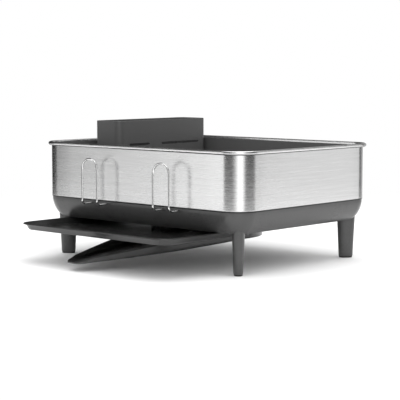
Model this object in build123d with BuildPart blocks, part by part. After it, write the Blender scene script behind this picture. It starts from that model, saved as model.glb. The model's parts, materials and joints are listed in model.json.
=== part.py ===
"""Countertop dish drying rack: a steel band round a moulded drip tub on four legs.

+Z is up, the front faces -Y and the long side runs along X.  The origin is the point of the
worktop under the middle of the band.  All sizes are in millimetres.  The slide-out drip tray
stands pulled out to the front and the swivel spout points to the front, a little to the left.
"""
import os
from math import acos, asin, atan2, cos, degrees, radians, sin, sqrt

from build123d import *

os.makedirs("parts", exist_ok=True)

# How far a cutting solid runs past the face it opens.
overcut = 1.0

# ---- Steel band -------------------------------------------------------------------------
band_length = 430.0
band_width = 323.0
corner_radius = 35.0
band_bottom = 95.5
band_top = 180.0
band_sheet = 0.8
hem_width = 2.6
rim_radius = 3.0
rim_overhang = 5.5
rim_slit = 1.0

# ---- Base tub ---------------------------------------------------------------------------
skirt_inset = 0.8
skirt_radius = 42.0
skirt_bottom = 62.5
tub_wall = 3.0
core_corner = 5.0
core_lap = 1.0
flange_gap = 0.4
flange_wall = 2.6
flange_top = 112.0
snap_bead = 0.5
snap_bead_height = 1.6
snap_gap = 0.6
floor_inset = 12.5
floor_edge = 70.0
floor_fall = 4.0
floor_wall = 2.5
drain_y = 13.0
drain_sump = 18.0
sump_corner = 17.0

# ---- Legs and feet ----------------------------------------------------------------------
leg_inset = 28.5
leg_top = 72.0
leg_top_long = 29.6
leg_top_short = 20.0
leg_foot_long = 22.4
leg_foot_short = 14.2
leg_edge = 1.2
leg_clearance = 0.2
leg_boss_wall = 3.0
leg_boss_top = 84.0
pad_height = 2.0
pad_margin = 0.6
pad_plug_height = 10.0
pad_plug_gap = 0.15
leg_bore = 4.4
leg_bore_top = 50.0

# ---- Fasteners --------------------------------------------------------------------------
leg_screw_head = 3.9
leg_screw_head_height = 2.6
leg_screw_shank = 1.85
leg_screw_bite = 8.0
small_screw_head = 2.6
small_screw_head_height = 2.0
small_screw_shank = 1.4
runner_screw_bite = 3.2
clip_screw_bite = 2.8
screw_hole_gap = 0.05
screw_pass_gap = 0.35
recess_width = 2.0
recess_depth = 1.2

# ---- Drip tray and its runners ----------------------------------------------------------
tray_leg_gap = 1.9
tray_right_inset = 59.0
tray_back_gap = 105.0
tray_reach = 97.0
tray_setback = 8.0
tray_rim = 61.9
tray_depth = 10.4
tray_corner = 30.0
tray_flare = 9.0
tray_wall = 2.0
tray_flange = 3.5
tray_flange_height = 1.6
tray_edge = 2.0
notch_gap = 2.0
tray_outlet = 20.0
runner_side_gap = 0.6
runner_top_gap = 0.4
runner_lip_gap = 0.3
runner_lip = 1.4
runner_lip_reach = 2.7
runner_web = 3.4
runner_ear = 12.0
runner_ear_wall = 2.5
runner_leg_gap = 3.9
runner_stop_gap = 0.5
runner_screw_inset = 23.0

# ---- Swivel spout -----------------------------------------------------------------------
spout_turn = -5.6
spout_pan_radius = 85.0
spout_reach = 109.5
spout_tip_width = 38.0
spout_tip_corner = 12.0
spout_belly = 7.0
spout_rim = 45.4
spout_fall = 27.9
spout_depth = 11.9
spout_knee = 120.0
spout_knee_floor = 23.0
spout_tip_depth = 6.0
spout_wall = 2.2
spout_ramp = 25.0
hub_height = 5.0
hub_wall = 4.0
hub_arm_width = 6.0
hub_arm_height = 4.0
spigot_radius = 16.0
spigot_wall = 2.5
spigot_fit = 0.05
washer_height = 1.2
washer_gap = 0.1
lock_height = 1.5
lock_gap = 0.1
lock_depth = 1.4
lock_opening = 14.0
spigot_end = 1.6

# ---- Cup hooks --------------------------------------------------------------------------
hook_wire = 3.0
hook_spread = 33.5
hook_centre = 78.0
hook_reach = 23.5
hook_top = 165.0
hook_bend = 6.0
hook_foot_drop = 3.5
hook_wire_gap = 0.15
clip_length = 52.0
clip_depth = 8.0
clip_height = 10.0
clip_blind = 1.2
clip_screw_spread = 12.0

# ---- Lift-out plate rack ----------------------------------------------------------------
rack_floor = 98.0
rack_floor_wall = 2.5
rack_wall = 2.0
rack_upper_inset = 2.4
rack_lower_inset = 7.4
rack_top = 182.0
rack_edge = 0.8
slot_width = 7.0
slot_margin = 14.0
slot_rail_gap = 9.0

# ---- Plate combs ------------------------------------------------------------------------
tine_pitch = 25.0
tine_base = 3.0
tine_tip = 2.0
tine_top = 149.0
tine_round = 1.5
comb_front_y = -55.0
comb_back_y = 45.0
comb_rail_width = 10.0
comb_rail_height = 5.0
comb_end_gap = 14.0
comb_caddy_gap = 18.0
comb_rail_end = 8.0
peg_radius = 2.5
peg_gap = 0.1
peg_below = 0.8

# ---- Utensil caddy ----------------------------------------------------------------------
caddy_width = 60.0
caddy_length = 216.0
caddy_top = 217.5
caddy_side_inset = 20.0
caddy_back_inset = 10.5
caddy_corner = 12.0
caddy_wall = 2.0
caddy_edge = 0.8
caddy_drain_radius = 3.0
caddy_drain_pitch = 16.0
grip_drop = 40.0
grip_height = 4.0
grip_front_start = 24.3
grip_front_length = 48.0
grip_back_start = 101.8
grip_back_length = 93.0
divider_wall = 1.8
divider_gap = 0.15
divider_rib = 1.5
divider_drop = 30.0
divider_dip = 8.0

# ---- Places that follow from the sizes above --------------------------------------------
half_length = band_length / 2
half_width = band_width / 2
flange_outer = hem_width + flange_gap
flange_inner = flange_outer + flange_wall
skirt_centre = skirt_inset + skirt_radius
core_inset = corner_radius - core_corner
leg_x = half_length - leg_inset
leg_y = half_width - leg_inset
leg_reach = sqrt((leg_top_long**2 + leg_top_short**2) / 8)
leg_corners = {
    "front_left": (-leg_x, -leg_y),
    "front_right": (leg_x, -leg_y),
    "back_left": (-leg_x, leg_y),
    "back_right": (leg_x, leg_y),
}
sump_z = floor_edge - floor_fall
bead_z = band_bottom + band_sheet + snap_gap

tray_left = leg_reach + tray_leg_gap - leg_x
tray_right = half_length - tray_right_inset
tray_width = tray_right - tray_left
tray_x = (tray_left + tray_right) / 2
tray_length = band_width - tray_back_gap
tray_front = -half_width - tray_reach
tray_middle = tray_front + tray_length / 2
tray_back = tray_front + tray_length
tray_travel = tray_reach + tray_setback
tray_bottom = tray_rim - tray_depth
shoulder_radius = spigot_radius + hub_wall
spigot_bore = spigot_radius - spigot_wall
notch_radius = shoulder_radius + notch_gap
notch_end = drain_y - tray_travel - shoulder_radius - notch_gap
runner_bottom = tray_rim - tray_flange_height - runner_lip_gap - runner_lip
runner_roof = tray_rim + runner_top_gap
runner_seat = runner_roof + runner_ear_wall
runner_channel = tray_width / 2 + runner_side_gap
runner_inner = tray_width / 2 - runner_lip_reach
runner_outer = runner_channel + runner_web
runner_half = leg_y - leg_reach - leg_boss_wall - runner_leg_gap
runner_stop = tray_back + tray_travel + runner_stop_gap
runner_ear_x = runner_outer + runner_ear
runner_width = runner_ear_x - runner_inner
runner_screw_x = runner_outer + runner_ear / 2
runner_screw_y = runner_half - runner_screw_inset
runner_screw_places = [
    (tray_x + side * runner_screw_x, end * runner_screw_y) for side in (-1, 1) for end in (-1, 1)
]

spout_length = half_width + drain_y + spout_reach
hub_bottom = spout_rim - hub_height
washer_bottom = spout_rim + washer_gap
shoulder_z = washer_bottom + washer_height + washer_gap
lock_top = hub_bottom - lock_gap
lock_bottom = lock_top - lock_height
groove_radius = spigot_radius - lock_depth
spigot_bottom = lock_bottom - lock_gap - spigot_end

hook_y = -half_width - hook_reach
hook_z = band_bottom - hook_foot_drop
hook_arch_z = hook_top - hook_wire / 2 - hook_spread / 2
clip_face = -half_width + flange_inner
clip_back = clip_face + clip_depth
hook_end = clip_back - clip_blind
hook_centres = {"left": -hook_centre, "right": hook_centre}
hook_wire_places = [
    middle + side * hook_spread / 2 for middle in hook_centres.values() for side in (-1, 1)
]
clip_screw_places = [
    middle + side * clip_screw_spread / 2 for middle in hook_centres.values() for side in (-1, 1)
]

rack_floor_top = rack_floor + rack_floor_wall
rack_ledge_top = flange_top + rack_wall
caddy_left = -half_length + caddy_side_inset
caddy_right = caddy_left + caddy_width
caddy_back = half_width - caddy_back_inset
caddy_front = caddy_back - caddy_length
caddy_x = caddy_left + caddy_width / 2
caddy_y = caddy_back - caddy_length / 2
divider_places = {
    "front": caddy_front + caddy_length / 3,
    "back": caddy_front + 2 * caddy_length / 3,
}
divider_top = caddy_top - divider_drop

comb_left = caddy_right + comb_caddy_gap
comb_right = half_length - rack_lower_inset - rack_wall - comb_end_gap
tine_count = int((comb_right - comb_left) // tine_pitch) + 1
tine_first = comb_right - (tine_count - 1) * tine_pitch
comb_middle = (tine_first + comb_right) / 2
comb_span = comb_right - tine_first


def save(piece, name):
    """Name a finished piece and write it to its own file."""
    piece.label = name
    export_step(piece, f"parts/{name}.step")


def outline(inset, mode=Mode.ADD):
    """Rounded rectangle that follows the band's outer face, drawn in by inset."""
    RectangleRounded(band_length - 2 * inset, band_width - 2 * inset, corner_radius - inset, mode=mode)


def block(inset, low, high, mode=Mode.ADD):
    """Upright block with the band's outline, drawn in by inset, between two heights."""
    with BuildSketch(Plane.XY.offset(low), mode=Mode.PRIVATE) as plan:
        outline(inset)
    extrude(plan.sketch, amount=high - low, mode=mode)


def loop_path(inset, height):
    """Closed line round the rack at one height, drawn in from the band's outer face."""
    with BuildSketch(Plane.XY.offset(height), mode=Mode.PRIVATE) as plan:
        outline(inset)
    return plan.sketch.faces()[0].outer_wire()


def dished_block(arc_radius, side_inset, high, low):
    """Solid of the tub's outline whose side wall curves in, on one arc, towards its lower edge."""
    first = degrees(acos((skirt_centre - side_inset) / arc_radius))
    last = degrees(asin((band_bottom - low) / arc_radius))
    centre = (half_length - skirt_centre, band_bottom)
    with BuildPart() as dish:
        with BuildSketch(Plane.XZ):
            with BuildLine():
                wall = CenterArc(centre, arc_radius, -last, last - first)
                Polyline(wall @ 0, (half_length - core_inset, low), (half_length - core_inset, high),
                         (half_length - side_inset, high), wall @ 1)
            make_face()
        sweep(path=loop_path(skirt_inset, band_bottom))
        block(core_inset - core_lap, low, high)
    return dish.part


def funnel(edge_z, low_z):
    """Shallow solid that narrows from the tub's wall down to the sump round the drain."""
    with BuildPart() as space:
        with BuildSketch(Plane.XY.offset(edge_z)):
            outline(floor_inset)
        with BuildSketch(Plane.XY.offset(low_z)):
            with Locations((0, drain_y)):
                RectangleRounded(2 * drain_sump, 2 * drain_sump, sump_corner)
        loft(ruled=True)
    return space.part


def leg_section(height, growth=0.0):
    """Half length and half breadth of a leg's oval section at a height."""
    share = height / leg_top
    long = leg_foot_long + (leg_top_long - leg_foot_long) * share
    short = leg_foot_short + (leg_top_short - leg_foot_short) * share
    return long / 2 + growth, short / 2 + growth


def leg_slant(corner):
    """Angle of the leg's long axis, which points at the middle of the rack's corner."""
    x, y = corner
    return degrees(atan2(y / abs(y), x / abs(x)))


def leg_oval(corner, height, growth=0.0):
    """Oval of one leg at one height, in the active sketch."""
    long, short = leg_section(height, growth)
    with Locations(corner):
        Ellipse(long, short, rotation=leg_slant(corner))


def leg_body(corner, low, high, growth=0.0):
    """Tapering oval post of one leg between two heights."""
    with BuildPart() as post:
        for height in (low, high):
            with BuildSketch(Plane.XY.offset(height)):
                leg_oval(corner, height, growth)
        loft()
    return post.part


def leg_boss(corner, tub_shape):
    """Thick pad over one leg that takes its screw, kept inside the skirt."""
    with BuildPart() as boss:
        with BuildSketch(Plane.XY.offset(skirt_bottom)):
            leg_oval(corner, leg_top, leg_boss_wall)
        extrude(amount=leg_boss_top - skirt_bottom)
        add(tub_shape, mode=Mode.INTERSECT)
    return boss.part


# ---- Steel band: wall, hem turned in at the bottom, edge rolled out at the top ------------
with BuildPart() as steel_band:
    block(0, band_bottom, band_top + rim_radius)
    block(hem_width, band_bottom, band_top + rim_radius, mode=Mode.SUBTRACT)
    with BuildSketch(Plane.XY.offset(band_bottom + band_sheet)):
        outline(band_sheet)
        outline(hem_width, mode=Mode.SUBTRACT)
    extrude(amount=band_top + rim_radius - band_bottom, mode=Mode.SUBTRACT)
    rim_x = half_length + rim_overhang - rim_radius
    with BuildSketch(Plane.XZ):
        with Locations((rim_x, band_top + rim_radius)):
            Circle(rim_radius)
            Circle(rim_radius - band_sheet, mode=Mode.SUBTRACT)
        with Locations((half_length, band_top)):
            Rectangle(rim_slit, rim_radius, align=(Align.MIN, Align.CENTER), mode=Mode.SUBTRACT)
    sweep(path=loop_path(rim_radius - rim_overhang, band_top + rim_radius))
save(steel_band.part, "steel_band")

# ---- Base tub: curved skirt, locating flange, sloping floor and drain spigot -------------
tub_outside = dished_block(skirt_radius, skirt_inset, band_bottom, skirt_bottom)
tub_inside = dished_block(skirt_radius - tub_wall, flange_inner, flange_top + overcut, skirt_bottom)

with BuildPart() as tub_floor:
    add(funnel(floor_edge - floor_wall, sump_z - floor_wall))
    block(floor_inset, floor_edge - floor_wall, floor_edge)
    add(funnel(floor_edge, sump_z), mode=Mode.SUBTRACT)

with BuildPart() as base_tub:
    add(tub_outside)
    block(flange_outer, band_bottom, flange_top)
    block(flange_outer - snap_bead, bead_z, bead_z + snap_bead_height)
    add(tub_inside, mode=Mode.SUBTRACT)
    add(tub_floor.part)
    for corner in leg_corners.values():
        add(leg_boss(corner, tub_outside))
    for corner in leg_corners.values():
        add(leg_body(corner, skirt_bottom - overcut, leg_top, leg_clearance), mode=Mode.SUBTRACT)
    with Locations([(x, y, leg_top) for x, y in leg_corners.values()]):
        Cylinder(leg_screw_shank + screw_hole_gap, leg_screw_bite,
                 align=(Align.CENTER, Align.CENTER, Align.MIN), mode=Mode.SUBTRACT)
    with BuildSketch(Plane.XY.offset(runner_seat)):
        for side in (-1, 1):
            with Locations((tray_x + side * (runner_inner + runner_width / 2), 0)):
                Rectangle(runner_width, 2 * runner_half)
    extrude(until=Until.NEXT)
    with Locations([(x, y, runner_seat) for x, y in runner_screw_places]):
        Cylinder(small_screw_shank + screw_hole_gap, runner_screw_bite,
                 align=(Align.CENTER, Align.CENTER, Align.MIN), mode=Mode.SUBTRACT)
    with BuildSketch(Plane.XY.offset(spigot_bottom)):
        with Locations((0, drain_y)):
            Circle(spigot_radius)
    extrude(amount=shoulder_z - spigot_bottom)
    with BuildSketch(Plane.XY.offset(shoulder_z)):
        with Locations((0, drain_y)):
            Circle(shoulder_radius)
    extrude(amount=sump_z - shoulder_z)
    with Locations((0, drain_y, spigot_bottom)):
        Cylinder(spigot_bore, flange_top - spigot_bottom,
                 align=(Align.CENTER, Align.CENTER, Align.MIN), mode=Mode.SUBTRACT)
    with BuildSketch(Plane.XY.offset(lock_bottom - lock_gap)):
        with Locations((0, drain_y)):
            Circle(spigot_radius + overcut)
            Circle(groove_radius, mode=Mode.SUBTRACT)
    extrude(amount=lock_height + 2 * lock_gap, mode=Mode.SUBTRACT)
    with BuildSketch(Plane.XZ.offset(half_width + overcut)):
        with Locations([(x, hook_z) for x in hook_wire_places]):
            Circle(hook_wire / 2 + hook_wire_gap)
    extrude(amount=-flange_inner - 2 * overcut, mode=Mode.SUBTRACT)
    with BuildSketch(Plane.XZ.offset(-clip_face)):
        with Locations([(x, hook_z) for x in clip_screw_places]):
            Circle(small_screw_shank + screw_hole_gap)
    extrude(amount=clip_screw_bite, mode=Mode.SUBTRACT)
save(base_tub.part, "base_tub")


def make_leg(name, corner):
    """Oval leg with a clearance hole for its screw and a wide bore below for the head."""
    with BuildPart() as leg:
        add(leg_body(corner, pad_height, leg_top))
        fillet(leg.edges().group_by(Axis.Z)[0], leg_edge)
        with Locations((*corner, pad_height)):
            Cylinder(leg_bore, leg_bore_top - pad_height,
                     align=(Align.CENTER, Align.CENTER, Align.MIN), mode=Mode.SUBTRACT)
        with Locations((*corner, leg_bore_top)):
            Cylinder(leg_screw_shank + screw_pass_gap, leg_top - leg_bore_top,
                     align=(Align.CENTER, Align.CENTER, Align.MIN), mode=Mode.SUBTRACT)
    save(leg.part, f"leg_{name}")


def make_foot_pad(name, corner):
    """Rubber pad under one leg, with a plug that fills the leg's bore."""
    with BuildPart() as pad:
        with BuildSketch():
            leg_oval(corner, 0, -pad_margin)
        extrude(amount=pad_height)
        fillet(pad.edges().group_by(Axis.Z)[0], pad_margin)
        with BuildSketch(Plane.XY.offset(pad_height)):
            with Locations(corner):
                Circle(leg_bore - pad_plug_gap)
        extrude(amount=pad_plug_height)
    save(pad.part, f"foot_pad_{name}")


# ---- Legs, pads and the screws that hold the legs -----------------------------------------
for leg_name, leg_corner in leg_corners.items():
    make_leg(leg_name, leg_corner)
    make_foot_pad(leg_name, leg_corner)

with BuildPart() as leg_screws:
    with Locations([(x, y, leg_bore_top) for x, y in leg_corners.values()]):
        Cylinder(leg_screw_head, leg_screw_head_height, align=(Align.CENTER, Align.CENTER, Align.MAX))
        Cylinder(leg_screw_shank, leg_top - leg_bore_top + leg_screw_bite - screw_hole_gap,
                 align=(Align.CENTER, Align.CENTER, Align.MIN))
    with BuildSketch(Plane.XY.offset(leg_bore_top - leg_screw_head_height)):
        with Locations(*leg_corners.values()):
            RegularPolygon(recess_width, 6)
    extrude(amount=recess_depth, mode=Mode.SUBTRACT)
save(leg_screws.part, "leg_screws")


def make_runner(name, side):
    """Channel that guides one side of the tray's rim, with a screwed ear and a rear stop."""
    with BuildPart() as runner:
        with BuildSketch(Plane.XZ.shift_origin((tray_x, 0, 0))):
            with BuildLine():
                Polyline((side * runner_inner, runner_bottom), (side * runner_outer, runner_bottom),
                         (side * runner_outer, runner_roof), (side * runner_ear_x, runner_roof),
                         (side * runner_ear_x, runner_seat), (side * runner_inner, runner_seat),
                         close=True)
            make_face()
        extrude(amount=runner_half, both=True)
        with BuildSketch(Plane.XY.offset(runner_bottom + runner_lip)):
            with Locations((tray_x + side * runner_channel, -runner_half)):
                Rectangle(2 * runner_channel, runner_stop + runner_half,
                          align=(Align.MAX if side > 0 else Align.MIN, Align.MIN))
        extrude(amount=runner_roof - runner_bottom - runner_lip, mode=Mode.SUBTRACT)
        with Locations([(x, y, runner_seat) for x, y in runner_screw_places if side * (x - tray_x) > 0]):
            Cylinder(small_screw_shank + screw_pass_gap, 3 * runner_ear_wall, mode=Mode.SUBTRACT)
    save(runner.part, f"tray_runner_{name}")


# ---- Tray runners and their screws ----------------------------------------------------------
make_runner("left", -1)
make_runner("right", 1)

with BuildPart() as runner_screws:
    with Locations([(x, y, runner_roof) for x, y in runner_screw_places]):
        Cylinder(small_screw_head, small_screw_head_height, align=(Align.CENTER, Align.CENTER, Align.MAX))
        Cylinder(small_screw_shank, runner_seat - runner_roof + runner_screw_bite - screw_hole_gap,
                 align=(Align.CENTER, Align.CENTER, Align.MIN))
    with BuildSketch(Plane.XY.offset(runner_roof - small_screw_head_height)):
        with Locations(*runner_screw_places):
            RegularPolygon(small_screw_shank, 6)
    extrude(amount=recess_depth, mode=Mode.SUBTRACT)
save(runner_screws.part, "runner_screws")


def tray_outline(inset):
    """Rounded rectangle of the tray's rim, drawn in by inset, in the active sketch."""
    RectangleRounded(tray_width - 2 * inset, tray_length - 2 * inset, tray_corner - inset)


def tray_dish(growth, low, high):
    """Flared solid of the tray between its floor and its rim, drawn in by growth."""
    with BuildPart() as dish:
        with BuildSketch(Plane.XY.offset(low)):
            with Locations((tray_x, tray_middle)):
                tray_outline(tray_flare + growth)
        with BuildSketch(Plane.XY.offset(high)):
            with Locations((tray_x, tray_middle)):
                tray_outline(tray_flange + growth)
        loft(ruled=True)
    return dish.part


def notch_shape(radius, back):
    """Slot, open to the back, that lets the tray slide past the drain spigot."""
    with Locations((0, notch_end + notch_radius)):
        Circle(radius)
        Rectangle(2 * radius, back - notch_end - notch_radius, align=(Align.CENTER, Align.MIN))


# ---- Drip tray: flared dish with a rim flange, a notch at the back and an outlet lip ---------
with BuildPart() as drip_tray:
    add(tray_dish(0, tray_bottom, tray_rim))
    fillet(drip_tray.edges().group_by(Axis.Z)[0], tray_edge)
    with BuildSketch(Plane.XY.offset(tray_rim - tray_flange_height)):
        with Locations((tray_x, tray_middle)):
            tray_outline(0)
    extrude(amount=tray_flange_height)
    add(tray_dish(tray_wall, tray_bottom + tray_wall, tray_rim), mode=Mode.SUBTRACT)
    with BuildSketch(Plane.XY.offset(tray_bottom + tray_wall / 2)):
        notch_shape(notch_radius + tray_wall, tray_back - tray_flare)
    extrude(amount=tray_depth - tray_wall / 2)
    with BuildSketch(Plane.XY.offset(tray_bottom - overcut)):
        notch_shape(notch_radius, tray_back + overcut)
    extrude(amount=tray_depth + 2 * overcut, mode=Mode.SUBTRACT)
    with BuildSketch(Plane.XY.offset(tray_bottom + tray_wall)):
        with Locations((0, notch_end)):
            Rectangle(tray_outlet, 4 * tray_wall)
    extrude(amount=tray_depth, mode=Mode.SUBTRACT)
save(drip_tray.part, "drip_tray")

# ---- Drain spout: round pan that narrows to a sloping open channel ---------------------------
spout_plane = Plane(origin=(0, drain_y, 0), x_dir=Vector(1, 0, 0).rotate(Axis.Z, spout_turn))
spout_side = Plane(origin=spout_plane.origin, x_dir=-spout_plane.y_dir, z_dir=-spout_plane.x_dir)


def spout_plan(shrink):
    """Right half of the spout's teardrop plan, drawn in by shrink, in the active sketch."""
    radius = spout_pan_radius - shrink
    tip = spout_tip_width / 2 - shrink
    end_y = shrink - spout_length
    lean = asin((spout_pan_radius - spout_tip_width / 2) / spout_length)
    shoulder = (radius * cos(lean), -radius * sin(lean))
    belly = (
        (shoulder[0] + tip) / 2 + spout_belly * cos(lean),
        (shoulder[1] + end_y) / 2 - spout_belly * sin(lean),
    )
    with BuildLine() as half:
        end = Polyline((0, radius), (0, end_y), (tip - spout_tip_corner, end_y))
        corner = RadiusArc(end @ 1, (tip, end_y + spout_tip_corner), -spout_tip_corner)
        flank = ThreePointArc(corner @ 1, belly, shoulder)
        ThreePointArc(flank @ 1, (radius * cos(radians(45)), radius * sin(radians(45))), (0, radius))
    make_face(half.edges())


def spout_profile(lift, top):
    """Side view of the spout: level over the pan, then the rim and the floor fall to the tip."""
    back = -spout_pan_radius - overcut
    front = spout_length + overcut
    tip_floor = spout_rim - spout_fall - spout_tip_depth
    tip_rim = spout_rim - spout_fall * (1 - spout_ramp / (spout_length - spout_pan_radius))
    with BuildLine() as side_view:
        Polyline(
            (back, spout_rim - spout_depth + lift),
            (0, spout_rim - spout_depth + lift),
            (spout_knee, spout_knee_floor + lift),
            (front, tip_floor + lift),
            (front, top or tip_floor + spout_wall),
            (spout_length - spout_ramp, top or tip_rim),
            (spout_pan_radius, top or spout_rim),
            (back, top or spout_rim),
            close=True,
        )
    make_face(side_view.edges())


def spout_body(shrink, lift, top=None):
    """Solid of the spout's plan and side view; with a top height it is open above."""
    with BuildPart() as body:
        with BuildSketch(spout_plane):
            spout_plan(shrink)
            mirror(about=Plane.YZ)
        extrude(amount=top or spout_rim)
        with BuildSketch(spout_side):
            spout_profile(lift, top)
        extrude(amount=spout_pan_radius + overcut, both=True, mode=Mode.INTERSECT)
    return body.part


with BuildPart() as drain_spout:
    add(spout_body(0, 0))
    add(spout_body(spout_wall, spout_wall, top=spout_rim + overcut), mode=Mode.SUBTRACT)
    with BuildSketch(spout_plane.offset(spout_rim - hub_arm_height)):
        Rectangle(2 * spout_pan_radius - spout_wall, hub_arm_width)
        Rectangle(hub_arm_width, spout_pan_radius - spout_wall / 2, align=(Align.CENTER, Align.MIN))
    extrude(amount=hub_arm_height)
    with BuildSketch(spout_plane.offset(hub_bottom)):
        Circle(spigot_radius + hub_wall)
    extrude(amount=hub_height)
    with BuildSketch(spout_plane.offset(hub_bottom)):
        Circle(spigot_radius + spigot_fit)
    extrude(amount=hub_height, mode=Mode.SUBTRACT)
save(drain_spout.part, "drain_spout")

# ---- Wear washer above the spout's hub and the spring ring that holds it up ---------------------
with BuildPart() as spout_washer:
    with BuildSketch(Plane.XY.offset(washer_bottom)):
        with Locations((0, drain_y)):
            Circle(shoulder_radius)
            Circle(spigot_radius + lock_gap, mode=Mode.SUBTRACT)
    extrude(amount=washer_height)
save(spout_washer.part, "spout_washer")

with BuildPart() as spout_lock_ring:
    with BuildSketch(Plane.XY.offset(lock_bottom)):
        with Locations((0, drain_y)):
            Circle(shoulder_radius)
            Circle(groove_radius + lock_gap, mode=Mode.SUBTRACT)
            Rectangle(lock_opening, 2 * shoulder_radius, align=(Align.CENTER, Align.MIN), mode=Mode.SUBTRACT)
    extrude(amount=lock_height)
save(spout_lock_ring.part, "spout_lock_ring")


def make_cup_hook(name, middle):
    """Upright wire loop whose two feet turn back and run in under the band."""
    left = middle - hook_spread / 2
    right = middle + hook_spread / 2
    foot_y = hook_y + hook_bend
    leg_z = hook_z + hook_bend
    bend = hook_bend * sin(radians(45))
    bend_y = foot_y - bend
    bend_z = leg_z - bend
    arch_top = hook_arch_z + hook_spread / 2
    with BuildPart() as hook:
        with BuildLine() as wire:
            Line((left, hook_end, hook_z), (left, foot_y, hook_z))
            ThreePointArc((left, foot_y, hook_z), (left, bend_y, bend_z), (left, hook_y, leg_z))
            Line((left, hook_y, leg_z), (left, hook_y, hook_arch_z))
            ThreePointArc((left, hook_y, hook_arch_z), (middle, hook_y, arch_top),
                          (right, hook_y, hook_arch_z))
            Line((right, hook_y, hook_arch_z), (right, hook_y, leg_z))
            ThreePointArc((right, hook_y, leg_z), (right, bend_y, bend_z), (right, foot_y, hook_z))
            Line((right, foot_y, hook_z), (right, hook_end, hook_z))
        with BuildSketch(Plane(origin=(left, hook_end, hook_z), z_dir=(0, -1, 0))):
            Circle(hook_wire / 2)
        sweep(path=wire.wires()[0])
    save(hook.part, f"cup_hook_{name}")


def make_hook_clip(name, middle):
    """Keeper inside the tub that grips both ends of one hook's wire."""
    with BuildPart() as clip:
        with BuildSketch(Plane.XZ.offset(-clip_face)):
            with Locations((middle, hook_z)):
                RectangleRounded(clip_length, clip_height, tub_wall / 2)
        extrude(amount=-clip_depth)
        with BuildSketch(Plane.XZ.offset(-clip_face)):
            with Locations([(middle + side * hook_spread / 2, hook_z) for side in (-1, 1)]):
                Circle(hook_wire / 2 + hook_wire_gap)
        extrude(amount=clip_blind - clip_depth, mode=Mode.SUBTRACT)
        with BuildSketch(Plane.XZ.offset(-clip_face)):
            with Locations([(middle + side * clip_screw_spread / 2, hook_z) for side in (-1, 1)]):
                Circle(small_screw_shank + screw_pass_gap)
        extrude(amount=-clip_depth, mode=Mode.SUBTRACT)
    save(clip.part, f"hook_clip_{name}")


# ---- Cup hooks, their keepers inside the tub and the keepers' screws ---------------------------
for hook_name, hook_middle in hook_centres.items():
    make_cup_hook(hook_name, hook_middle)
    make_hook_clip(hook_name, hook_middle)

with BuildPart() as clip_screws:
    with BuildSketch(Plane.XZ.offset(-clip_back)):
        with Locations([(x, hook_z) for x in clip_screw_places]):
            Circle(small_screw_head)
    extrude(amount=-small_screw_head_height)
    with BuildSketch(Plane.XZ.offset(-clip_back)):
        with Locations([(x, hook_z) for x in clip_screw_places]):
            Circle(small_screw_shank)
    extrude(amount=clip_depth + clip_screw_bite - screw_hole_gap)
    with BuildSketch(Plane.XZ.offset(-clip_back - small_screw_head_height)):
        with Locations([(x, hook_z) for x in clip_screw_places]):
            RegularPolygon(small_screw_shank, 6)
    extrude(amount=recess_depth, mode=Mode.SUBTRACT)
save(clip_screws.part, "clip_screws")


def cut_corner(x, y):
    """Whether a point lies in the rounded corner of the plate rack's floor."""
    edge = corner_radius
    dx = max(abs(x) - (half_length - edge), 0)
    dy = max(abs(y) - (half_width - edge), 0)
    return sqrt(dx**2 + dy**2) > corner_radius - slot_margin


# ---- Plate rack: lift-out liner that hangs on the tub's flange, with a slotted floor -------------
slot_edge_y = half_width - slot_margin
slot_rows = [
    (-slot_edge_y, comb_front_y - slot_rail_gap),
    (comb_front_y + slot_rail_gap, comb_back_y - slot_rail_gap),
    (comb_back_y + slot_rail_gap, slot_edge_y),
]
slot_first = tine_first - tine_pitch / 2
slots_left = int((slot_first + half_length - slot_margin - slot_width) // tine_pitch)
slots_right = int((half_length - slot_margin - slot_width - slot_first) // tine_pitch)
slot_columns = [slot_first + i * tine_pitch for i in range(-slots_left, slots_right + 1)]
peg_places = [
    (x, y)
    for x in (tine_first, comb_middle, comb_right)
    for y in (comb_front_y, comb_back_y)
]

with BuildPart() as plate_rack:
    block(rack_lower_inset, rack_floor, flange_top)
    block(rack_upper_inset, flange_top, rack_top)
    fillet(plate_rack.edges().group_by(Axis.Z)[-1], rack_edge)
    block(rack_upper_inset + rack_wall, rack_ledge_top, rack_top, mode=Mode.SUBTRACT)
    block(rack_lower_inset + rack_wall, rack_floor_top, rack_ledge_top, mode=Mode.SUBTRACT)
    with BuildSketch(Plane.XY.offset(rack_floor)):
        for low, high in slot_rows:
            columns = [x for x in slot_columns if not cut_corner(x, max(high, -low))]
            with Locations([(x, (low + high) / 2) for x in columns]):
                SlotOverall(high - low, slot_width, rotation=90)
        with Locations(*peg_places):
            Circle(peg_radius + peg_gap)
    extrude(amount=rack_floor_wall, mode=Mode.SUBTRACT)
save(plate_rack.part, "plate_rack")


def make_comb(name, y):
    """Rail with a row of upright tines and three pegs that plug into the rack's floor."""
    tines = [(tine_first + i * tine_pitch, y) for i in range(tine_count)]
    with BuildPart() as comb:
        with BuildSketch(Plane.XY.offset(rack_floor_top)):
            with Locations((comb_middle, y)):
                SlotOverall(comb_span + 2 * comb_rail_end, comb_rail_width)
        extrude(amount=comb_rail_height)
        with Locations([(x, row, rack_floor_top + comb_rail_height) for x, row in tines]):
            Cone(tine_base, tine_tip, tine_top - rack_floor_top - comb_rail_height,
                 align=(Align.CENTER, Align.CENTER, Align.MIN))
        fillet(comb.edges().group_by(Axis.Z)[-1], tine_round)
        with BuildSketch(Plane.XY.offset(rack_floor - peg_below)):
            with Locations([(x, row) for x, row in peg_places if row == y]):
                Circle(peg_radius)
        extrude(amount=rack_floor_wall + peg_below)
    save(comb.part, f"plate_comb_{name}")


make_comb("front", comb_front_y)
make_comb("back", comb_back_y)


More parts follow.
